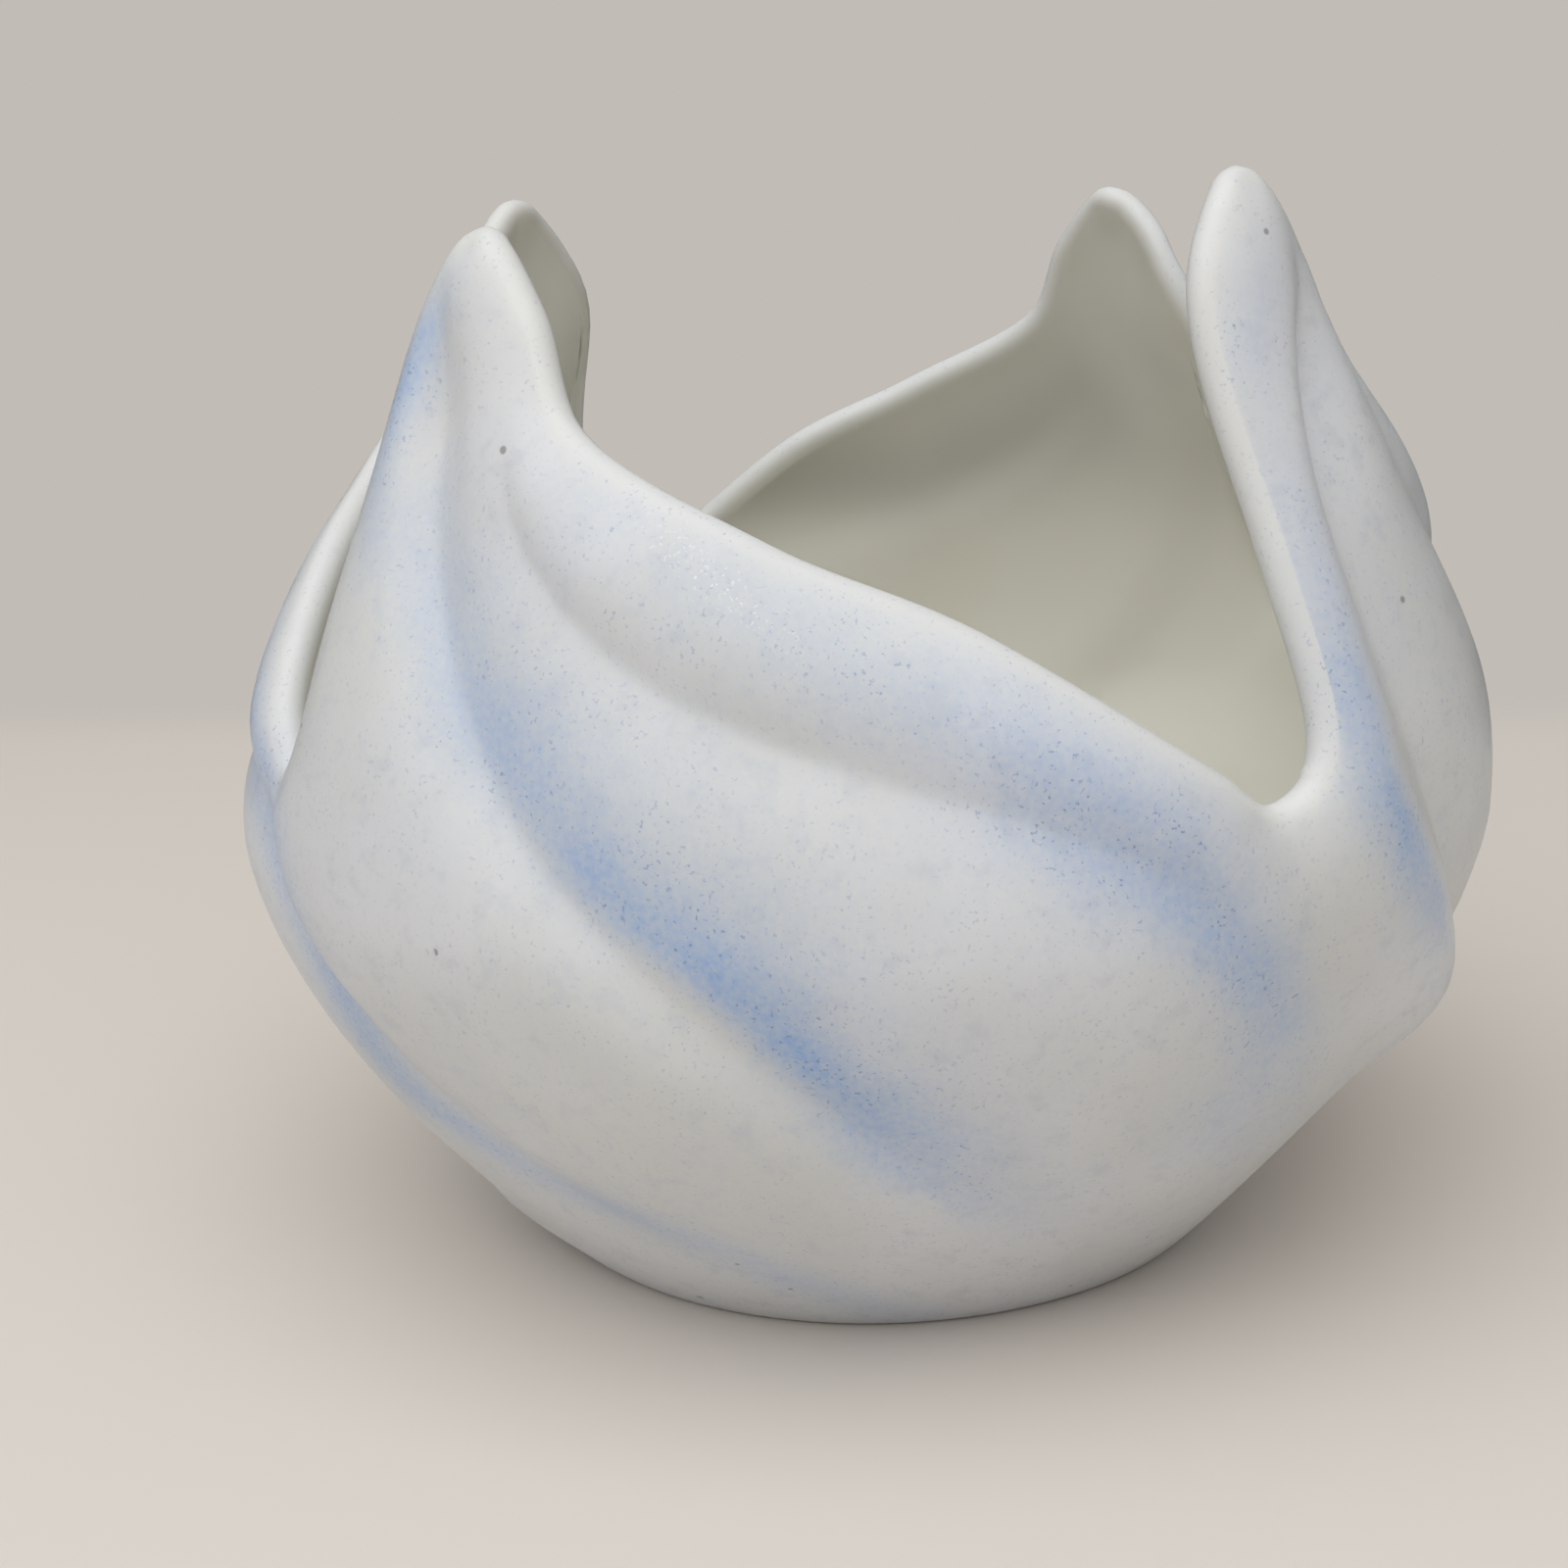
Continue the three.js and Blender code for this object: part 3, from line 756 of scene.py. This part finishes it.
def outside_colour(tree, place, outside):
    """Off-white with mottle, sprayed blue, a whiter crest, and blue specks that are denser in the blue."""
    blue = mask(tree, "blue")
    colour = mixed(tree, texture(tree, place, "ground"), WHITE, CREAM)
    colour = mixed(tree, texture(tree, place, "mottle"), colour, MOTTLE)
    spray = product(tree, blue, texture(tree, place, "cloud"), texture(tree, place, "grain"))
    colour = mixed(tree, spray, colour, BLUE)
    colour = mixed(tree, product(tree, mask(tree, "crest"), CREST_STRENGTH), colour, CREST_WHITE)
    density = ranged(tree, blue, *SPECK_DENSITY)
    specks = product(tree, texture(tree, place, "specks"), texture(tree, place, "patches"), density, outside)
    return mixed(tree, specks, colour, DEEP_BLUE)


def inside_colour(tree, place):
    """Greenish grey with warmer patches, darkened by painted shade near the rim."""
    colour = mixed(tree, texture(tree, place, "warm"), INSIDE, INSIDE_WARM)
    return mixed(tree, mask(tree, "painted_shade"), colour, INSIDE_PAINTED_SHADE)


def glaze():
    """Satin glaze in the outside's and inside's colours, with pinholes, painted highlight specks and a bare
    foot.
    """
    material = bpy.data.materials.new("glazed_ceramic")
    material.use_nodes = True
    tree = material.node_tree
    shader = tree.nodes["Principled BSDF"]
    place = add(tree, "ShaderNodeTexCoord").outputs["Object"]
    inside, bare = mask(tree, "inside"), mask(tree, "bare")
    outside = maths(tree, "SUBTRACT", 1, inside)
    pinholes = product(tree, round_pinholes(tree, place), outside)
    # painted highlight specks along the rim
    painted_glints = product(tree, texture(tree, place, "painted_glints"), mask(tree, "painted_glints"))

    colour = mixed(tree, inside, outside_colour(tree, place, outside), inside_colour(tree, place))
    colour = mixed(tree, product(tree, pinholes, PINHOLE_STRENGTH), colour, PINHOLE)
    colour = mixed(tree, painted_glints, colour, PAINTED_GLINT_COLOUR)
    colour = mixed(tree, bare, colour, BARE_CLAY)
    tree.links.new(colour, shader.inputs["Base Color"])

    roughness = {0: bare, 2: texture(tree, place, "satin"), 3: BARE_ROUGHNESS}
    rough = add(tree, "ShaderNodeMix", roughness, data_type="FLOAT").outputs[0]
    tree.links.new(rough, shader.inputs["Roughness"])
    peel = maths(tree, "SUBTRACT", noise(tree, place, PEEL_SIZE, PEEL_DETAIL), pinholes)
    relief = {"Height": peel, "Strength": PEEL_STRENGTH, "Distance": PEEL_DEPTH * MM}
    bump = add(tree, "ShaderNodeBump", relief)
    tree.links.new(bump.outputs["Normal"], shader.inputs["Normal"])
    return material


def make_bowl():
    bowl = bpy.data.objects.new("bowl_glazed", bowl_surface())
    bpy.context.collection.objects.link(bowl)
    bowl.data.materials.append(glaze())
    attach(bowl, "root")
    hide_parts("bowl_body")


def in_view(vector):
    """A direction or place in the camera's own turn, brought into the bowl's frame."""
    return Matrix.Rotation(math.radians(CAMERA_TURN), 3, "Z") @ Vector(vector)


def view_axes():
    """The camera's right, up and forward directions."""
    level_run = math.cos(CAMERA_PITCH)
    forward = Vector(
        (math.sin(CAMERA_YAW) * level_run, math.cos(CAMERA_YAW) * level_run, -math.sin(CAMERA_PITCH))
    )
    right = Vector((math.cos(CAMERA_YAW), -math.sin(CAMERA_YAW), 0))
    up = right.cross(forward)
    tilted_right = right * math.cos(CAMERA_ROLL) + up * math.sin(CAMERA_ROLL)
    tilted_up = up * math.cos(CAMERA_ROLL) - right * math.sin(CAMERA_ROLL)
    return in_view(tilted_right), in_view(tilted_up), in_view(forward)


def make_camera():
    data = bpy.data.cameras.new("camera")
    data.sensor_width = SENSOR
    data.lens = FOCAL_PIXELS * SENSOR / IMAGE_WIDTH
    data.clip_start = CLIP_START * MM
    camera = bpy.data.objects.new("camera", data)
    right, up, forward = view_axes()
    eye = in_view((0, -CAMERA_DISTANCE, CAMERA_HEIGHT)) * MM
    axes = Matrix((right, up, -forward)).transposed()
    camera.matrix_world = Matrix.Translation(eye) @ axes.to_4x4()
    bpy.context.collection.objects.link(camera)
    bpy.context.scene.camera = camera


def table_top():
    """Pale up to the table's far edge, and clear beyond it."""
    material = bpy.data.materials.new("table")
    material.use_nodes = True
    tree = material.node_tree
    tree.nodes.clear()
    place = add(tree, "ShaderNodeTexCoord").outputs["Object"]
    depth = add(tree, "ShaderNodeSeparateXYZ", {"Vector": place}).outputs["Y"]
    gone = ranged(tree, depth, (TABLE_EDGE - TABLE_BLUR) * MM, (TABLE_EDGE + TABLE_BLUR) * MM)
    top = add(tree, "ShaderNodeBsdfDiffuse", {"Color": TABLE}).outputs[0]
    clear = add(tree, "ShaderNodeBsdfTransparent").outputs[0]
    both = add(tree, "ShaderNodeMixShader", {0: gone, 1: top, 2: clear}).outputs[0]
    add(tree, "ShaderNodeOutputMaterial", {"Surface": both})
    return material


def make_table():
    """A pale table top that gives way to the wall's tone behind the bowl."""
    half = TABLE_SIZE / 2 * MM
    mesh = bpy.data.meshes.new("table")
    corners = [(-half, -half, 0), (half, -half, 0), (half, half, 0), (-half, half, 0)]
    mesh.from_pydata(corners, [], [(0, 1, 2, 3)])
    mesh.materials.append(table_top())
    table = bpy.data.objects.new("table", mesh)
    table.rotation_euler.z = math.radians(CAMERA_TURN + TABLE_TURN)
    bpy.context.collection.objects.link(table)


def add_light(name, place, power):
    """A square soft light aimed at the bowl's middle."""
    data = bpy.data.lights.new(name, "AREA")
    data.size = LIGHT_SIZE * MM
    data.energy = power
    light = bpy.data.objects.new(name, data)
    light.location = in_view(place) * MM
    aim = Vector((0, 0, BELLY_HEIGHT * MM)) - light.location
    light.rotation_euler = aim.to_track_quat("-Z", "Y").to_euler()
    bpy.context.collection.objects.link(light)


def make_light():
    """Soft lights above and in front, and a room that is dark around and bright overhead."""
    for name, (place, power) in LIGHTS.items():
        add_light(name, place, power)
    world = bpy.data.worlds.new("room")
    world.use_nodes = True
    bpy.context.scene.world = world
    tree = world.node_tree
    tree.nodes.clear()
    seen = add(tree, "ShaderNodeLightPath").outputs["Is Camera Ray"]
    direction = add(tree, "ShaderNodeTexCoord").outputs["Generated"]
    height = add(tree, "ShaderNodeSeparateXYZ", {"Vector": direction}).outputs["Z"]
    strength = ranged(tree, height, *ROOM_FADE, 0, ROOM)
    room = add(tree, "ShaderNodeBackground", {"Color": ROOM_TONE, "Strength": strength}).outputs[0]
    wall = add(tree, "ShaderNodeBackground", {"Color": WALL_TONE}).outputs[0]
    both = add(tree, "ShaderNodeMixShader", {0: seen, 1: room, 2: wall}).outputs[0]
    add(tree, "ShaderNodeOutputWorld", {"Surface": both})


make_camera()
make_bowl()
make_table()
make_light()
bpy.context.scene.view_settings.view_transform = "Standard"
